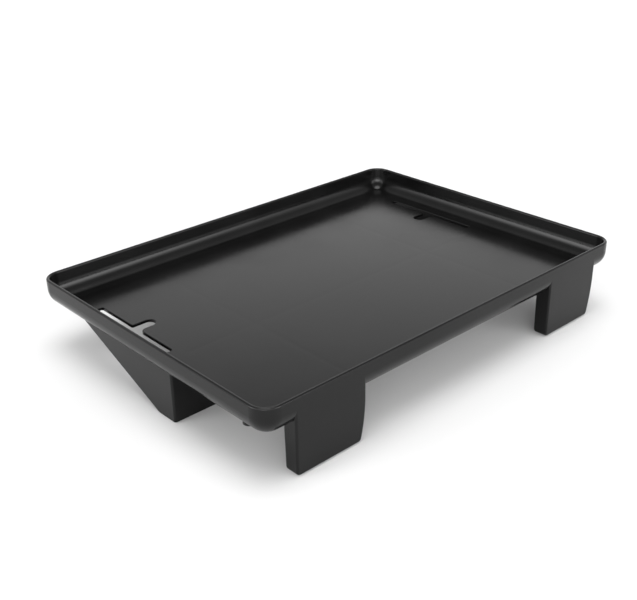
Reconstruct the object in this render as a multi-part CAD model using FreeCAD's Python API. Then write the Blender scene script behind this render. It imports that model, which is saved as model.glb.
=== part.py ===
import FreeCAD, Part
import math
import os

# Raised flat tray. X runs along the long side, the front is at -Y, Z is up from the floor.
# The origin is on the floor, under the middle of the tray. All sizes are in millimetres.

# ---- driving dimensions -------------------------------------------------------------------
TRAY_LENGTH = 400.0
TRAY_WIDTH = 289.0
TRAY_HEIGHT = 63.0
PAN_BOTTOM = 38.9          # height of the flat underside of the pan
FLOOR_THICKNESS = 2.5
WALL = 2.9                 # rim wall
OUTER_ROUND = 14.5         # round between rim wall and underside
PLAN_CORNER = 15.0         # corner radius seen from above
LIP_ROUND = 1.3

SLOT_INNER_X = 172.0       # T-slot: the bar lies along Y, the stem points to the middle
SLOT_BAR_WIDTH = 5.4
SLOT_BAR_LENGTH = 100.0
SLOT_CENTRE_Y = 46.7
SLOT_STEM_TIP_X = 154.5
SLOT_STEM_WIDTH = 11.0
SLOT_BAR_CORNER = 1.5
SLOT_STEM_ROUND = 5.0
SLOT_FAR_ROOT_ROUND = 1.5  # the root of the stem on the side of the rear wall is nearly sharp
SLOT_EDGE = 0.4            # round on the upper edge of the slots

RIB_DEPTH = 6.0            # stiffening ribs under the floor
RIB_THICKNESS = 1.8
LONG_RIB_Y = -14.5
LONG_RIB_HALF = 124.0
CROSS_RIB_X = 101.0
CROSS_RIB_HALF = 126.0

LEFT_SLOT_RIB_DEPTH = 8.5  # rib along the outer edge of each T-slot
RIGHT_SLOT_RIB_DEPTH = 16.0
SLOT_RIB_OVERRUN = 2.0

LUG_X = 187.0              # low stacking lugs under the two front corners
LUG_Y = -113.5
LUG_RADIUS = 5.0
LUG_DEPTH = 2.5

SOLE = 0.5                 # height of the soles: the rubber pads stand this much proud
LEG_CENTRE_X = 140.5
LEG_WIDTH = 65.0
LEG_DEPTH_TOP = 14.4
LEG_DEPTH_SOLE = 13.6
LEG_SEAM = 37.9            # height where a leg butts against its root on the pan
LEG_WALL = 3.2
LEG_SOLE_THICKNESS = 4.0
LEG_WEB = 8.0              # web in the middle of each leg, between its two cells
LEG_SIDE_ARC = 135.0       # one side of each leg curves inwards towards the sole
LEG_SIDE_ARC_TOP = 36.0
LEG_EDGE = 1.6
LEG_SOLE_ROUND = 3.0
TENON_LENGTH = 18.0
TENON_GAP = 0.15

BRACKET_OUTER_X = 194.4
BRACKET_WIDTH = 62.0
BRACKET_FRONT_Y = -33.0
BRACKET_SOLE_BACK_Y = -12.0
BRACKET_SLOPE = 22.7       # degrees, the lower edge rising towards the back
BRACKET_FRONT_WALL = 3.2
BRACKET_SIDE_WALL = 2.6
BRACKET_FOOT = 4.0
BRACKET_EDGE = 2.0
BRACKET_HEEL_ROUND = 5.0
FLANGE_DROP = 8.0          # screw flange below the underside of the pan
FLANGE_THICKNESS = 2.8
FLANGE_DEPTH = 16.0
EAR_RADIUS = 6.5
EAR_Y = 46.7
EAR_REACH = 6.5            # from the inner side of the bracket to the ear screw

BOSS_RADIUS = 4.5
FLANGE_SCREW_Y = -22.0
FLANGE_SCREW_PITCH = 28.0
LEG_SCREW_PITCH = 34.0
LEG_SCREW_Z = 31.0
SCREW_LENGTH = 8.0
SCREW_RADIUS = 1.7
SCREW_HEAD_RADIUS = 3.2
SCREW_HEAD_HEIGHT = 2.2
SCREW_CLEARANCE = 2.0      # radius of the holes that a screw passes through
SEAT_RADIUS = 4.0
SEAT_DEPTH = 0.8

PAD_THICKNESS = 1.5
PAD_LENGTH = 46.0
FRONT_PAD_WIDTH = 8.0
REAR_PAD_WIDTH = 15.0
PAD_CORNER = 2.0

# ---- worked out from them ----------------------------------------------------------------
FLOOR_TOP = PAN_BOTTOM + FLOOR_THICKNESS
FRONT_Y = -TRAY_WIDTH / 2
BRACKET_INNER_X = BRACKET_OUTER_X - BRACKET_WIDTH
FLANGE_TOP = PAN_BOTTOM - FLANGE_DROP
FLANGE_BOTTOM = FLANGE_TOP - FLANGE_THICKNESS
EAR_X = BRACKET_INNER_X - EAR_REACH
FRONT_PAD_Y = FRONT_Y + 2.2 + FRONT_PAD_WIDTH / 2
REAR_PAD_Y = BRACKET_SOLE_BACK_Y - 1.4 - REAR_PAD_WIDTH / 2
LEFT, RIGHT = -1, 1
EPS = 1e-4


# ---- small helpers -----------------------------------------------------------------------
def vec(x, y, z):
    return FreeCAD.Vector(x, y, z)


def block(x0, x1, y0, y1, z0, z1):
    """A box between two corners, given in any order of X."""
    low = min(x0, x1)
    return Part.makeBox(abs(x1 - x0), y1 - y0, z1 - z0, vec(low, y0, z0))


def post(radius, x, y, z0, z1):
    return Part.makeCylinder(radius, z1 - z0, vec(x, y, z0))


def is_upright(edge):
    box = edge.BoundBox
    return box.XLength < EPS and box.YLength < EPS and box.ZLength > EPS


def lies_at(edge, z):
    box = edge.BoundBox
    return abs(box.ZMin - z) < EPS and abs(box.ZMax - z) < EPS


def fillet_where(shape, radius, test):
    return shape.makeFillet(radius, [edge for edge in shape.Edges if test(edge)])


def joined(first, *others):
    return first.fuse(list(others)).removeSplitter()


def prism(points, direction):
    """Extrude the closed outline through points along direction."""
    return Part.Face(Part.makePolygon(points + points[:1])).extrude(direction)


# ---- tray pan ----------------------------------------------------------------------------
def tub(inset, bottom, top, bottom_round):
    """A solid with the plan of the tray, drawn in by inset, with rounded corners and base."""
    half_x = TRAY_LENGTH / 2 - inset
    half_y = TRAY_WIDTH / 2 - inset
    body = block(-half_x, half_x, -half_y, half_y, bottom, top)
    body = fillet_where(body, PLAN_CORNER - inset, is_upright)
    return fillet_where(body, bottom_round, lambda edge: lies_at(edge, bottom))


def outer_tub():
    return tub(0.0, PAN_BOTTOM, TRAY_HEIGHT, OUTER_ROUND)


def inner_tub():
    return tub(WALL, FLOOR_TOP, TRAY_HEIGHT + 1.0, OUTER_ROUND - WALL)


def t_slot(side):
    """The cutter of one T-slot, straight through the floor."""
    z0, z1 = PAN_BOTTOM - 1.0, FLOOR_TOP + 1.0
    half_bar = SLOT_BAR_LENGTH / 2
    bar = block(side * SLOT_INNER_X, side * (SLOT_INNER_X + SLOT_BAR_WIDTH),
                SLOT_CENTRE_Y - half_bar, SLOT_CENTRE_Y + half_bar, z0, z1)
    bar = fillet_where(bar, SLOT_BAR_CORNER, is_upright)
    stem = block(side * SLOT_STEM_TIP_X, side * (SLOT_INNER_X + 1.0),
                 SLOT_CENTRE_Y - SLOT_STEM_WIDTH / 2, SLOT_CENTRE_Y + SLOT_STEM_WIDTH / 2, z0, z1)
    slot = joined(bar, stem)

    far_side_y = SLOT_CENTRE_Y + SLOT_STEM_WIDTH / 2

    def on_far_root(edge):
        middle = edge.CenterOfMass
        at_bar = abs(abs(middle.x) - SLOT_INNER_X) < EPS
        return is_upright(edge) and at_bar and abs(middle.y - far_side_y) < EPS

    def on_stem(edge):
        near = abs(edge.CenterOfMass.x) < SLOT_INNER_X + EPS
        beside = abs(edge.CenterOfMass.y - SLOT_CENTRE_Y) < SLOT_STEM_WIDTH
        return is_upright(edge) and near and beside and not on_far_root(edge)

    slot = fillet_where(slot, SLOT_STEM_ROUND, on_stem)
    return fillet_where(slot, SLOT_FAR_ROOT_ROUND, on_far_root)


def leg_left_edge(side):
    return side * LEG_CENTRE_X - LEG_WIDTH / 2


def leg_screw_xs(side):
    return [side * LEG_CENTRE_X + step * LEG_SCREW_PITCH / 2 for step in (-1, 1)]


def leg_root(side):
    """The part of a leg that is moulded on the pan: it fills the round down to the seam."""
    x0 = leg_left_edge(side)
    root = block(x0, x0 + LEG_WIDTH, FRONT_Y, FRONT_Y + LEG_DEPTH_TOP,
                 LEG_SEAM, PAN_BOTTOM + OUTER_ROUND)

    def front_upright(edge):
        return is_upright(edge) and edge.CenterOfMass.y < FRONT_Y + EPS

    return fillet_where(root, LEG_EDGE, front_upright).cut(inner_tub())


def leg_cells(side, gap, z0, z1):
    """The two hollow cells of a leg, either side of its web, drawn in by gap."""
    middle = side * LEG_CENTRE_X
    reach = LEG_WEB / 2 + gap
    web = block(middle - reach, middle + reach, FRONT_Y, FRONT_Y + LEG_DEPTH_TOP,
                z0 - 1.0, z1 + 1.0)
    return leg_body(side, LEG_WALL + gap, z0, z1).cut(web)


def leg_tenons(side):
    """The two tenons under a root that the leg slides over, with pilot holes for its screws."""
    tenons = leg_cells(side, TENON_GAP, LEG_SEAM - TENON_LENGTH, LEG_SEAM + 1.0)
    for x in leg_screw_xs(side):
        tip = vec(x, leg_seat_y() - SCREW_LENGTH, LEG_SCREW_Z)
        tenons = tenons.cut(Part.makeCylinder(SCREW_RADIUS, 2 * SCREW_LENGTH, tip, vec(0, 1, 0)))
    return tenons


def boss_places(side):
    """Where the three screws of one rear bracket enter the pan."""
    middle = side * (BRACKET_INNER_X + BRACKET_WIDTH / 2)
    places = [(middle + step * FLANGE_SCREW_PITCH / 2, FLANGE_SCREW_Y) for step in (-1, 1)]
    return places + [(side * EAR_X, EAR_Y)]


def pan_ribs():
    z0, z1 = PAN_BOTTOM - RIB_DEPTH, PAN_BOTTOM + 1.0
    half = RIB_THICKNESS / 2
    ribs = [block(-LONG_RIB_HALF, LONG_RIB_HALF, LONG_RIB_Y - half, LONG_RIB_Y + half, z0, z1)]
    for side in (LEFT, RIGHT):
        x = side * CROSS_RIB_X
        ribs.append(block(x - half, x + half, -CROSS_RIB_HALF, CROSS_RIB_HALF, z0, z1))
        ribs.append(slot_rib(side))
    return ribs


def slot_rib(side):
    """The rib that hangs down along the outer edge of a T-slot, deeper on the right."""
    inner = side * (SLOT_INNER_X + SLOT_BAR_WIDTH)
    reach = SLOT_BAR_LENGTH / 2 + SLOT_RIB_OVERRUN
    depth = LEFT_SLOT_RIB_DEPTH if side == LEFT else RIGHT_SLOT_RIB_DEPTH
    return block(inner, inner + side * RIB_THICKNESS, SLOT_CENTRE_Y - reach,
                 SLOT_CENTRE_Y + reach, PAN_BOTTOM - depth, PAN_BOTTOM + 1.0)


def round_slot_edges(pan):
    """Round the upper edges of both T-slots."""
    def on_slot(edge):
        reach = abs(edge.CenterOfMass.x)
        inboard = SLOT_STEM_TIP_X - 1.0 < reach < SLOT_INNER_X + SLOT_BAR_WIDTH + 1.0
        return lies_at(edge, FLOOR_TOP) and inboard and edge.BoundBox.YLength < SLOT_BAR_LENGTH

    return fillet_where(pan, SLOT_EDGE, on_slot)


def tray_pan():
    inside = inner_tub()
    pan = outer_tub().cut(inside)
    pan = fillet_where(pan, LIP_ROUND, lambda edge: lies_at(edge, TRAY_HEIGHT))
    additions = pan_ribs()
    for side in (LEFT, RIGHT):
        additions += [leg_root(side), leg_tenons(side)]
        additions += [post(BOSS_RADIUS, x, y, FLANGE_TOP, PAN_BOTTOM + 1.0)
                      for x, y in boss_places(side)]
        additions.append(post(LUG_RADIUS, side * LUG_X, LUG_Y, PAN_BOTTOM - LUG_DEPTH,
                              PAN_BOTTOM + 1.8))
    pan = joined(pan, *additions)
    for side in (LEFT, RIGHT):
        pan = pan.cut(t_slot(side))
        for x, y in boss_places(side):
            pan = pan.cut(post(SCREW_RADIUS, x, y, FLANGE_TOP - 1.0,
                               FLANGE_BOTTOM + SCREW_LENGTH))
    return round_slot_edges(pan)


# ---- front legs --------------------------------------------------------------------------
def leg_face_outline(side, inset, z0, z1):
    """Front view of a leg: one straight side, one side that curves in towards the sole."""
    x0 = leg_left_edge(side) + inset
    x1 = leg_left_edge(side) + LEG_WIDTH - inset
    radius = LEG_SIDE_ARC - inset
    centre_x = x1 - radius

    def curved_x(z):
        return centre_x + math.sqrt(radius ** 2 - (LEG_SIDE_ARC_TOP - z) ** 2)

    y = FRONT_Y + inset
    middle = (z0 + LEG_SIDE_ARC_TOP) / 2
    curve = Part.Arc(vec(curved_x(z0), y, z0), vec(curved_x(middle), y, middle),
                     vec(x1, y, LEG_SIDE_ARC_TOP)).toShape()
    rest = Part.makePolygon([vec(x1, y, LEG_SIDE_ARC_TOP), vec(x1, y, z1), vec(x0, y, z1),
                             vec(x0, y, z0), vec(curved_x(z0), y, z0)])
    return Part.Face(Part.Wire([curve] + rest.Edges))


def leg_body(side, inset, z0, z1):
    """The leg drawn in by inset: front outline crossed with its tapering side view."""
    front = leg_face_outline(side, inset, z0, z1).extrude(vec(0, LEG_DEPTH_TOP + 5.0, 0))
    taper = (LEG_DEPTH_TOP - LEG_DEPTH_SOLE) / (LEG_SEAM - SOLE)

    def back_y(z):
        return FRONT_Y + LEG_DEPTH_SOLE + taper * (z - SOLE) - inset

    x0 = leg_left_edge(side) - 5.0
    side_view = prism([vec(x0, FRONT_Y + inset, z0), vec(x0, back_y(z0), z0),
                       vec(x0, back_y(z1), z1), vec(x0, FRONT_Y + inset, z1)],
                      vec(LEG_WIDTH + 10.0, 0, 0))
    return front.common(side_view)


def leg_seat_y():
    """Flat bottom of the shallow seats for the screw heads, in the back of a leg."""
    return FRONT_Y + LEG_DEPTH_TOP - SEAT_DEPTH - 0.3


def front_leg(side):
    leg = leg_body(side, 0.0, SOLE, LEG_SEAM)
    x0 = leg_left_edge(side)
    x1 = x0 + LEG_WIDTH

    def at_side(edge):
        return min(abs(edge.CenterOfMass.x - x0), abs(edge.CenterOfMass.x - x1)) < 5.0

    def sole_corner(edge):
        return lies_at(edge, SOLE) and at_side(edge)

    def rising_front_edge(edge):
        return edge.BoundBox.YMax < FRONT_Y + EPS and edge.BoundBox.ZLength > 1.0

    def sole_long_edge(edge):
        return lies_at(edge, SOLE) and edge.BoundBox.XLength > LEG_WIDTH / 2

    def sole_back(edge):
        return sole_long_edge(edge) and edge.CenterOfMass.y > FRONT_Y + LEG_EDGE

    leg = fillet_where(leg, LEG_SOLE_ROUND, sole_corner)
    leg = fillet_where(leg, LEG_SOLE_ROUND, sole_back)
    leg = fillet_where(leg, LEG_EDGE, rising_front_edge)
    leg = leg.cut(leg_cells(side, 0.0, SOLE + LEG_SOLE_THICKNESS, LEG_SEAM + 5.0))
    for x in leg_screw_xs(side):
        seat = vec(x, leg_seat_y(), LEG_SCREW_Z)
        leg = leg.cut(Part.makeCylinder(SEAT_RADIUS, 5.0, seat, vec(0, 1, 0)))
        through = vec(x, leg_seat_y() - 4.0, LEG_SCREW_Z)
        leg = leg.cut(Part.makeCylinder(SCREW_CLEARANCE, 5.0, through, vec(0, 1, 0)))
    return leg.cut(foot_pad(side * LEG_CENTRE_X, FRONT_PAD_Y, FRONT_PAD_WIDTH))


# ---- rear brackets -----------------------------------------------------------------------
def bracket_side_view(x, top):
    """Side view of a bracket: upright front, short sole, lower edge rising to the back."""
    back = BRACKET_SOLE_BACK_Y + (top - SOLE) / math.tan(math.radians(BRACKET_SLOPE))
    return [vec(x, BRACKET_FRONT_Y, top), vec(x, BRACKET_FRONT_Y, SOLE),
            vec(x, BRACKET_SOLE_BACK_Y, SOLE), vec(x, back, top)]


def bracket_stiffener(x):
    """A small triangle that ties the front wall to the foot."""
    y0, y1 = BRACKET_FRONT_Y + BRACKET_FRONT_WALL, BRACKET_SOLE_BACK_Y
    z0 = SOLE + BRACKET_FOOT
    points = [vec(x, y0, z0), vec(x, y1, z0), vec(x, y0, FLANGE_BOTTOM)]
    return prism(points, vec(RIB_THICKNESS, 0, 0))


def rear_bracket(side):
    outer, inner = side * BRACKET_OUTER_X, side * BRACKET_INNER_X
    low = min(outer, inner)
    top = PAN_BOTTOM + 5.0
    body = prism(bracket_side_view(low, top), vec(BRACKET_WIDTH, 0, 0))

    def front_upright(edge):
        return is_upright(edge) and edge.CenterOfMass.y < BRACKET_FRONT_Y + EPS

    def heel(edge):
        centre = edge.CenterOfMass
        return lies_at(edge, SOLE) and abs(centre.y - BRACKET_SOLE_BACK_Y) < EPS

    body = fillet_where(body, BRACKET_EDGE, front_upright)
    body = fillet_where(body, BRACKET_HEEL_ROUND, heel)

    x0, x1 = low + BRACKET_SIDE_WALL, low + BRACKET_WIDTH - BRACKET_SIDE_WALL
    y0 = BRACKET_FRONT_Y + BRACKET_FRONT_WALL
    body = body.cut(block(x0, x1, y0, TRAY_WIDTH / 2, SOLE + BRACKET_FOOT, top + 1.0))
    flange = block(x0, x1, y0, y0 + FLANGE_DEPTH, FLANGE_BOTTOM, FLANGE_TOP)
    ear_x = side * EAR_X
    ear = post(EAR_RADIUS, ear_x, EAR_Y, FLANGE_BOTTOM, FLANGE_TOP)
    ear_root = block(ear_x, inner, EAR_Y - EAR_RADIUS, EAR_Y + EAR_RADIUS,
                     FLANGE_BOTTOM, FLANGE_TOP)
    middle = low + BRACKET_WIDTH / 2 - RIB_THICKNESS / 2
    stiffeners = [bracket_stiffener(middle + step * BRACKET_WIDTH / 4) for step in (-1, 0, 1)]
    body = joined(body, flange, ear, ear_root, *stiffeners)
    body = body.cut(outer_tub())
    for x, y in boss_places(side):
        body = body.cut(post(SCREW_CLEARANCE, x, y, FLANGE_BOTTOM - 1.0, FLANGE_TOP + 1.0))
    return body.cut(foot_pad(low + BRACKET_WIDTH / 2, REAR_PAD_Y, REAR_PAD_WIDTH))


# ---- pads and screws ---------------------------------------------------------------------
def foot_pad(x, y, width):
    pad = block(x - PAD_LENGTH / 2, x + PAD_LENGTH / 2, y - width / 2, y + width / 2,
                0.0, PAD_THICKNESS)
    return fillet_where(pad, PAD_CORNER, is_upright)


def screw(seat, direction):
    """A pan head screw with a cross recess; seat is under its head, direction its way in."""
    shank = Part.makeCylinder(SCREW_RADIUS, SCREW_LENGTH, vec(0, 0, 0))
    head = Part.makeCylinder(SCREW_HEAD_RADIUS, SCREW_HEAD_HEIGHT, vec(0, 0, -SCREW_HEAD_HEIGHT))
    head = fillet_where(head, SCREW_HEAD_HEIGHT / 2, lambda edge: lies_at(edge, -SCREW_HEAD_HEIGHT))
    body = joined(head, shank)
    arm, half = SCREW_HEAD_RADIUS * 0.55, 0.4
    depth = SCREW_HEAD_HEIGHT * 0.55
    for x, y in ((arm, half), (half, arm)):
        body = body.cut(block(-x, x, -y, y, -SCREW_HEAD_HEIGHT - 1.0, depth - SCREW_HEAD_HEIGHT))
    body.Placement = FreeCAD.Placement(seat, FreeCAD.Rotation(vec(0, 0, 1), direction))
    return body


def front_leg_screws():
    return [screw(vec(x, leg_seat_y(), LEG_SCREW_Z), vec(0, -1, 0))
            for side in (LEFT, RIGHT) for x in leg_screw_xs(side)]


def rear_bracket_screws():
    return [screw(vec(x, y, FLANGE_BOTTOM), vec(0, 0, 1))
            for side in (LEFT, RIGHT) for x, y in boss_places(side)]


# ---- the assembly ------------------------------------------------------------------------
def nodes():
    bracket_middle = BRACKET_INNER_X + BRACKET_WIDTH / 2
    parts = {"tray_pan": tray_pan()}
    for side, name in ((LEFT, "left"), (RIGHT, "right")):
        parts["front_leg_" + name] = front_leg(side)
        parts["rear_bracket_" + name] = rear_bracket(side)
        parts["front_" + name + "_foot_pad"] = foot_pad(side * LEG_CENTRE_X, FRONT_PAD_Y,
                                                        FRONT_PAD_WIDTH)
        parts["rear_" + name + "_foot_pad"] = foot_pad(side * bracket_middle, REAR_PAD_Y,
                                                       REAR_PAD_WIDTH)
    parts["front_leg_screws"] = Part.makeCompound(front_leg_screws())
    parts["rear_bracket_screws"] = Part.makeCompound(rear_bracket_screws())
    return parts


def main():
    os.makedirs("parts", exist_ok=True)
    for name, shape in nodes().items():
        shape.exportStep("parts/" + name + ".step")
        print(name, len(shape.Solids), "solids", round(shape.Volume / 1000, 2), "cm3")


main()
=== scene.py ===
import math

import bpy
from mathutils import Matrix, Vector


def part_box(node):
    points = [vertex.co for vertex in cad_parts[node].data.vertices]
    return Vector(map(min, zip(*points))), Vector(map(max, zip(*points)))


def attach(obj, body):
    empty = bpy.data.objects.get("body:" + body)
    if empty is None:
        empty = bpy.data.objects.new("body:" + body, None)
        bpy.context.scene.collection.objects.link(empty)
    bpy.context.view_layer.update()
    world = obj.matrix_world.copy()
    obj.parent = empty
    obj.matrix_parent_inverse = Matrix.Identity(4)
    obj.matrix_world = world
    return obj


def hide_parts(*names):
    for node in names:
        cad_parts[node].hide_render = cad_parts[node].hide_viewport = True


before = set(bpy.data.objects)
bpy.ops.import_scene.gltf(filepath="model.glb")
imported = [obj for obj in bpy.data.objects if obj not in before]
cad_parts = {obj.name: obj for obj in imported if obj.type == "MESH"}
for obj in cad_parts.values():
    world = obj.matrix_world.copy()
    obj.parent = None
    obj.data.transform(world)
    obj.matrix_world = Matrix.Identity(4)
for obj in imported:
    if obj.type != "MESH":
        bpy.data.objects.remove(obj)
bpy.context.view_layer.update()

# Everything is in metres, in the frame of the CAD model.
MM = 0.001

# ---- camera ------------------------------------------------------------------------------
CAMERA_PLACE = Vector((-0.5110, -0.5407, 0.3911))
CAMERA_YAW = math.radians(42.233)      # from +Y towards +X
CAMERA_PITCH = math.radians(26.362)    # below the horizon
CAMERA_ROLL = math.radians(-1.060)
SENSOR_WIDTH = 36.0
LENS = 53.88


def add_camera():
    yaw, pitch, roll = CAMERA_YAW, CAMERA_PITCH, CAMERA_ROLL
    forward = Vector((math.sin(yaw) * math.cos(pitch), math.cos(yaw) * math.cos(pitch),
                      -math.sin(pitch)))
    level = Vector((math.cos(yaw), -math.sin(yaw), 0.0))
    upright = level.cross(forward)
    right = level * math.cos(roll) + upright * math.sin(roll)
    up = upright * math.cos(roll) - level * math.sin(roll)
    data = bpy.data.cameras.new("camera")
    data.sensor_width = SENSOR_WIDTH
    data.lens = LENS
    data.clip_start = 0.01
    data.clip_end = 50.0
    camera = bpy.data.objects.new("camera", data)
    bpy.context.scene.collection.objects.link(camera)
    turn = Matrix((right, up, -forward)).transposed()
    camera.matrix_world = Matrix.Translation(CAMERA_PLACE) @ turn.to_4x4()
    bpy.context.scene.camera = camera


# ---- node helpers ------------------------------------------------------------------------
MIX_LOW, MIX_HIGH, MIX_RESULT = 6, 7, 2     # the colour sockets of a Mix node


class Nodes:
    """Short ways to add and link shader nodes in one tree."""

    def __init__(self, tree):
        self.tree = tree
        tree.nodes.clear()

    def add(self, kind, settings=None, **inputs):
        """Add a node: settings are its own properties, inputs are socket values or links."""
        node = self.tree.nodes.new("ShaderNode" + kind)
        for name, value in (settings or {}).items():
            setattr(node, name, value)
        for name, value in inputs.items():
            self.feed(node, name.replace("_", " "), value)
        return node

    def feed(self, node, socket, value):
        target = node.inputs[socket]
        if isinstance(value, bpy.types.NodeSocket):
            self.tree.links.new(value, target)
        else:
            target.default_value = value

    def math(self, operation, *values):
        node = self.add("Math", {"operation": operation})
        for place, value in enumerate(values):
            self.feed(node, place, value)
        return node.outputs[0]

    def spread(self, value, low, high, to_low=0.0, to_high=1.0, smooth=True):
        """Map value from low..high to to_low..to_high, held at both ends."""
        style = "SMOOTHSTEP" if smooth else "LINEAR"
        node = self.add("MapRange", {"interpolation_type": style}, Value=value,
                        From_Min=low, From_Max=high, To_Min=to_low, To_Max=to_high)
        return node.outputs["Result"]

    def blend(self, factor, low, high):
        """The colour that goes from low to high as factor goes from 0 to 1."""
        node = self.add("Mix", {"data_type": "RGBA"}, Factor=factor)
        self.feed(node, MIX_LOW, low)
        self.feed(node, MIX_HIGH, high)
        return node.outputs[MIX_RESULT]

    def dot(self, first, second):
        node = self.add("VectorMath", {"operation": "DOT_PRODUCT"})
        self.feed(node, 0, first)
        self.feed(node, 1, second)
        return node.outputs["Value"]

    def height(self, place):
        return self.add("SeparateXYZ", Vector=place).outputs["Z"]

    def noise(self, place, size, detail=2.0, rough=0.5):
        """Noise from 0 to 1 whose features are about size metres across."""
        node = self.add("TexNoise", Vector=place, Scale=1.0 / size, Detail=detail,
                        Roughness=rough)
        return node.outputs[0]

    def bump(self, height, depth, normal=None):
        """Tilt the normal as height, from 0 to 1, rises by depth metres."""
        node = self.add("Bump", Height=height, Distance=depth)
        if normal is not None:
            self.feed(node, "Normal", normal)
        return node.outputs["Normal"]

    def ramp(self, value, stops):
        """Grey from 0 to 1 through (position, grey) stops, eased between them."""
        node = self.add("ValToRGB", Fac=value)
        node.color_ramp.interpolation = "EASE"
        elements = node.color_ramp.elements
        while len(elements) > 1:
            elements.remove(elements[-1])
        elements[0].position, elements[0].color = stops[0][0], grey(stops[0][1])
        for position, shade in stops[1:]:
            elements.new(position).color = grey(shade)
        return node.outputs["Color"]

    def finish(self, shader):
        output = self.add("OutputMaterial")
        self.tree.links.new(shader.outputs[0], output.inputs["Surface"])


def new_material(name):
    material = bpy.data.materials.new(name)
    material.use_nodes = True
    return material, Nodes(material.node_tree)


def grey(value):
    return (value, value, value, 1.0)


# ---- black plastic -----------------------------------------------------------------------
PLASTIC_DARK, PLASTIC_LIGHT, PLASTIC_WORN = 0.0026, 0.0038, 0.012
PLASTIC_IOR = 1.30
PLASTIC_ROUGHNESS = 0.20
CLOUD_SIZE, CLOUD_GLOSS = 45.0 * MM, 0.03
MOTTLE_SIZE, MOTTLE_DEPTH = 3.0 * MM, 0.02 * MM
GRAIN_SIZE, GRAIN_DEPTH = 0.45 * MM, 0.006 * MM
RUB_SIZE, RUB_STRETCH, RUB_TURN, RUB_GLOSS = 1.1 * MM, 0.12, 0.5, 0.03
EDGE_RADIUS = 0.5 * MM
EDGE_FLAT, EDGE_SHARP = 0.985, 0.80            # cosine between the flat and the rounded normal
WEAR_FROM_Z, WEAR_FULL_Z, WEAR_GLOSS = 52.0 * MM, 60.0 * MM, 0.15
SINK_WIDTH, SINK_DEPTH = 4.0 * MM, 0.025 * MM
LONG_SINK_Y, LONG_SINK_HALF = -14.5 * MM, 168.0 * MM
CROSS_SINK_X, CROSS_SINK_HALF = 101.0 * MM, 126.0 * MM


def sink_marks(nodes, place):
    """The faint hollows that the ribs and bracket fronts underneath draw in the floor."""
    axes = nodes.add("SeparateXYZ", Vector=place)
    x, y = axes.outputs["X"], axes.outputs["Y"]
    across, along = nodes.math("ABSOLUTE", x), nodes.math("ABSOLUTE", y)

    def hollow(distance, reach, half):
        dip = nodes.spread(nodes.math("ABSOLUTE", distance), 0.0, SINK_WIDTH, 1.0, 0.0)
        return nodes.math("MULTIPLY", dip, nodes.spread(reach, half - SINK_WIDTH, half, 1.0, 0.0))

    long_rib = hollow(nodes.math("SUBTRACT", y, LONG_SINK_Y), across, LONG_SINK_HALF)
    cross_ribs = hollow(nodes.math("SUBTRACT", across, CROSS_SINK_X), along, CROSS_SINK_HALF)
    return nodes.math("MAXIMUM", long_rib, cross_ribs)


def lip_wear(nodes, place, mottle):
    """Where hands and tools have rubbed the edges of the lip."""
    rounded = nodes.add("Bevel", {"samples": 4}, Radius=EDGE_RADIUS).outputs["Normal"]
    flat = nodes.add("NewGeometry").outputs["Normal"]
    edge = nodes.spread(nodes.dot(rounded, flat), EDGE_FLAT, EDGE_SHARP)
    high = nodes.spread(nodes.height(place), WEAR_FROM_Z, WEAR_FULL_Z)
    return nodes.math("MULTIPLY", nodes.math("MULTIPLY", edge, high),
                      nodes.spread(mottle, 0.38, 0.62))


def black_plastic():
    """Satin moulded plastic: fine grain, uneven gloss, sink marks, the lip rubbed a little."""
    material, nodes = new_material("black_plastic")
    place = nodes.add("TexCoord").outputs["Object"]
    clouds = nodes.noise(place, CLOUD_SIZE, 3.0)
    mottle = nodes.noise(place, MOTTLE_SIZE, 4.0, 0.6)
    grain = nodes.noise(place, GRAIN_SIZE, 2.0)
    drawn = nodes.add("Mapping", Vector=place, Scale=(RUB_STRETCH, 1.0, 1.0),
                      Rotation=(0.0, 0.0, RUB_TURN)).outputs[0]
    rubs = nodes.noise(drawn, RUB_SIZE, 3.0, 0.7)
    worn = lip_wear(nodes, place, mottle)

    tone = nodes.blend(nodes.spread(clouds, 0.3, 0.7), grey(PLASTIC_DARK), grey(PLASTIC_LIGHT))
    gloss = nodes.spread(clouds, 0.25, 0.75, PLASTIC_ROUGHNESS - CLOUD_GLOSS,
                         PLASTIC_ROUGHNESS + CLOUD_GLOSS)
    gloss = nodes.math("ADD", gloss, nodes.spread(rubs, 0.45, 0.75, 0.0, RUB_GLOSS))
    gloss = nodes.math("ADD", gloss, nodes.math("MULTIPLY", worn, WEAR_GLOSS))

    normal = nodes.bump(nodes.math("SUBTRACT", 1.0, sink_marks(nodes, place)), SINK_DEPTH)
    normal = nodes.bump(mottle, MOTTLE_DEPTH, normal)
    normal = nodes.bump(grain, GRAIN_DEPTH, normal)
    nodes.finish(nodes.add("BsdfPrincipled", Base_Color=nodes.blend(worn, tone, grey(PLASTIC_WORN)),
                           Roughness=gloss, IOR=PLASTIC_IOR, Normal=normal))
    return material


# ---- rubber pads and steel screws --------------------------------------------------------
RUBBER_DARK, RUBBER_DUSTY = 0.012, 0.045
DUST_SIZE, TOOTH_SIZE, TOOTH_DEPTH = 6.0 * MM, 0.35 * MM, 0.03 * MM
ZINC_DULL, ZINC_BRIGHT = (0.42, 0.43, 0.44, 1.0), (0.66, 0.66, 0.62, 1.0)
ZINC_MOTTLE_SIZE = 1.6 * MM
SCRATCH_SIZE, SCRATCH_STRETCH, SCRATCH_DEPTH = 0.25 * MM, 0.15, 0.01 * MM
PAD_CORNER, PAD_CORNER_STEPS, PAD_CHAMFER = 2.0 * MM, 5, 0.25 * MM
GROOVE_PITCH, GROOVE_WIDTH, GROOVE_DEPTH, GROOVE_FLANK = 3.0 * MM, 0.9 * MM, 0.4 * MM, 0.2 * MM


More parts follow.
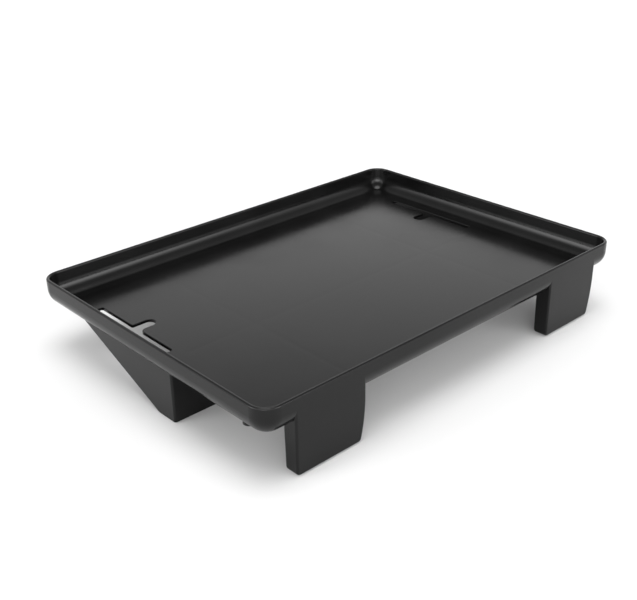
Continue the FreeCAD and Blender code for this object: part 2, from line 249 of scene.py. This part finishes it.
def pad_rubber():
    """Matt black rubber with a fine tooth and some dust in it."""
    material, nodes = new_material("pad_rubber")
    place = nodes.add("TexCoord").outputs["Object"]
    dust = nodes.noise(place, DUST_SIZE, 4.0, 0.65)
    tooth = nodes.noise(place, TOOTH_SIZE, 3.0)
    colour = nodes.blend(nodes.spread(dust, 0.45, 0.75), grey(RUBBER_DARK), grey(RUBBER_DUSTY))
    nodes.finish(nodes.add("BsdfPrincipled", Base_Color=colour,
                           Roughness=nodes.spread(dust, 0.3, 0.7, 0.55, 0.8),
                           Normal=nodes.bump(tooth, TOOTH_DEPTH)))
    return material


def screw_steel():
    """Zinc-plated steel: a faint mottle and fine scratches."""
    material, nodes = new_material("screw_steel")
    place = nodes.add("TexCoord").outputs["Object"]
    mottle = nodes.noise(place, ZINC_MOTTLE_SIZE, 4.0, 0.6)
    drawn = nodes.add("Mapping", Vector=place, Scale=(SCRATCH_STRETCH, 1.0, 1.0)).outputs[0]
    scratches = nodes.noise(drawn, SCRATCH_SIZE, 3.0, 0.7)
    nodes.finish(nodes.add("BsdfPrincipled", Metallic=1.0,
                           Base_Color=nodes.blend(nodes.spread(mottle, 0.3, 0.7), ZINC_DULL,
                                                  ZINC_BRIGHT),
                           Roughness=nodes.spread(scratches, 0.3, 0.7, 0.26, 0.42),
                           Normal=nodes.bump(scratches, SCRATCH_DEPTH)))
    return material


def pad_stations(low, high):
    """(x, inset of the sides, rise of the underside) along a pad with rounded corners."""
    corner = [(PAD_CORNER * (1.0 - math.cos(angle)), PAD_CORNER * (1.0 - math.sin(angle)))
              for angle in (math.radians(90.0 * step / PAD_CORNER_STEPS)
                            for step in range(PAD_CORNER_STEPS + 1))]
    stations = [(low + x, inset, 0.0) for x, inset in corner]
    count = int((high - low - 2.0 * PAD_CORNER) / GROOVE_PITCH)
    first = (low + high) / 2.0 - GROOVE_PITCH * (count - 1) / 2.0
    for groove in range(count):
        middle = first + groove * GROOVE_PITCH
        half = GROOVE_WIDTH / 2.0
        stations += [(middle - half, 0.0, 0.0), (middle - half + GROOVE_FLANK, 0.0, GROOVE_DEPTH),
                     (middle + half - GROOVE_FLANK, 0.0, GROOVE_DEPTH), (middle + half, 0.0, 0.0)]
    return stations + [(high - x, inset, 0.0) for x, inset in reversed(corner)]


def add_grooved_pad(name, node, rubber):
    """The pad of one CAD node again, with the anti-slip grooves across its underside."""
    low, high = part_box(node)
    points = []
    for x, inset, rise in pad_stations(low[0], high[0]):
        front, back = low[1] + inset, high[1] - inset
        sole = low[2] + rise
        points += [(x, front, high[2]), (x, front, sole + PAD_CHAMFER),
                   (x, front + PAD_CHAMFER, sole), (x, back - PAD_CHAMFER, sole),
                   (x, back, sole + PAD_CHAMFER), (x, back, high[2])]
    ring = 6
    faces = [tuple(range(ring)), tuple(len(points) - 1 - place for place in range(ring))]
    for start in range(0, len(points) - ring, ring):
        for place in range(ring):
            after = (place + 1) % ring
            faces.append((start + place, start + ring + place, start + ring + after,
                          start + after))
    mesh = bpy.data.meshes.new(name)
    mesh.from_pydata(points, [], faces)
    mesh.materials.append(rubber)
    pad = bpy.data.objects.new(name, mesh)
    bpy.context.scene.collection.objects.link(pad)
    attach(pad, "root")
    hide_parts(node)


# ---- studio ------------------------------------------------------------------------------
FLOOR_SHADE, FLOOR_ROUGHNESS = 0.62, 0.8
FLOOR_HALF = 8.0
FLOOR_DROP = 0.2 * MM          # keeps the pads from flickering against the floor


def floor_material():
    material, nodes = new_material("studio_floor")
    nodes.finish(nodes.add("BsdfPrincipled", Base_Color=grey(FLOOR_SHADE),
                           Roughness=FLOOR_ROUGHNESS))
    return material


def add_floor():
    half = FLOOR_HALF
    mesh = bpy.data.meshes.new("studio_floor")
    corners = [(-half, -half, 0.0), (half, -half, 0.0), (half, half, 0.0), (-half, half, 0.0)]
    mesh.from_pydata(corners, [], [(0, 1, 2, 3)])
    floor = bpy.data.objects.new("studio_floor", mesh)
    floor.location.z = -FLOOR_DROP
    mesh.materials.append(floor_material())
    bpy.context.scene.collection.objects.link(floor)


# Brightness of the soft studio dome: (sine of the height above the horizon, brightness).
DOME = [(0.0, 1.45), (0.30, 1.52), (0.38, 1.41), (0.46, 1.17), (0.54, 0.89), (0.62, 0.62),
        (0.75, 0.64), (0.92, 0.80), (0.955, 5.1), (1.0, 6.6)]
DOME_TOP = max(brightness for _, brightness in DOME)

# A wide, low key light in front and to the left, painted on the same dome.
KEY_TOWARDS = (-0.73, -0.68, 0.0)
# Its three soft lobes: (cosine of the angle from KEY_TOWARDS, share of the brightness).
KEY_LOBES = [(0.05, 0.0), (0.34, 1.0), (0.50, 0.9), (0.66, 0.25), (0.84, 0.25), (0.95, 0.9)]
KEY_HEIGHT = (0.66, 0.15)      # sine of the height at which it starts and is full
KEY_BRIGHTNESS = 8.4


def add_dome():
    world = bpy.data.worlds.new("studio_dome")
    world.use_nodes = True
    nodes = Nodes(world.node_tree)
    place = nodes.add("TexCoord").outputs["Generated"]
    height = nodes.height(place)
    lobes = nodes.ramp(nodes.dot(place, KEY_TOWARDS), KEY_LOBES)
    low = nodes.spread(height, KEY_HEIGHT[1], KEY_HEIGHT[0], 1.0, 0.0)
    key = nodes.math("MULTIPLY", nodes.math("MULTIPLY", lobes, low), KEY_BRIGHTNESS / DOME_TOP)
    soft = nodes.ramp(height, [(position, light / DOME_TOP) for position, light in DOME])
    light = nodes.math("ADD", soft, key)
    background = nodes.add("Background", Color=light, Strength=DOME_TOP)
    output = nodes.add("OutputWorld")
    nodes.tree.links.new(background.outputs[0], output.inputs["Surface"])
    bpy.context.scene.world = world


bpy.context.scene.view_settings.view_transform = "Standard"
add_camera()
add_dome()
add_floor()
plastic, rubber, steel = black_plastic(), pad_rubber(), screw_steel()
for name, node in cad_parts.items():
    for slot in node.material_slots:
        slot.material = steel if name.endswith("screws") else plastic
    if name.endswith("foot_pad"):
        add_grooved_pad(name + "_grooved", name, rubber)
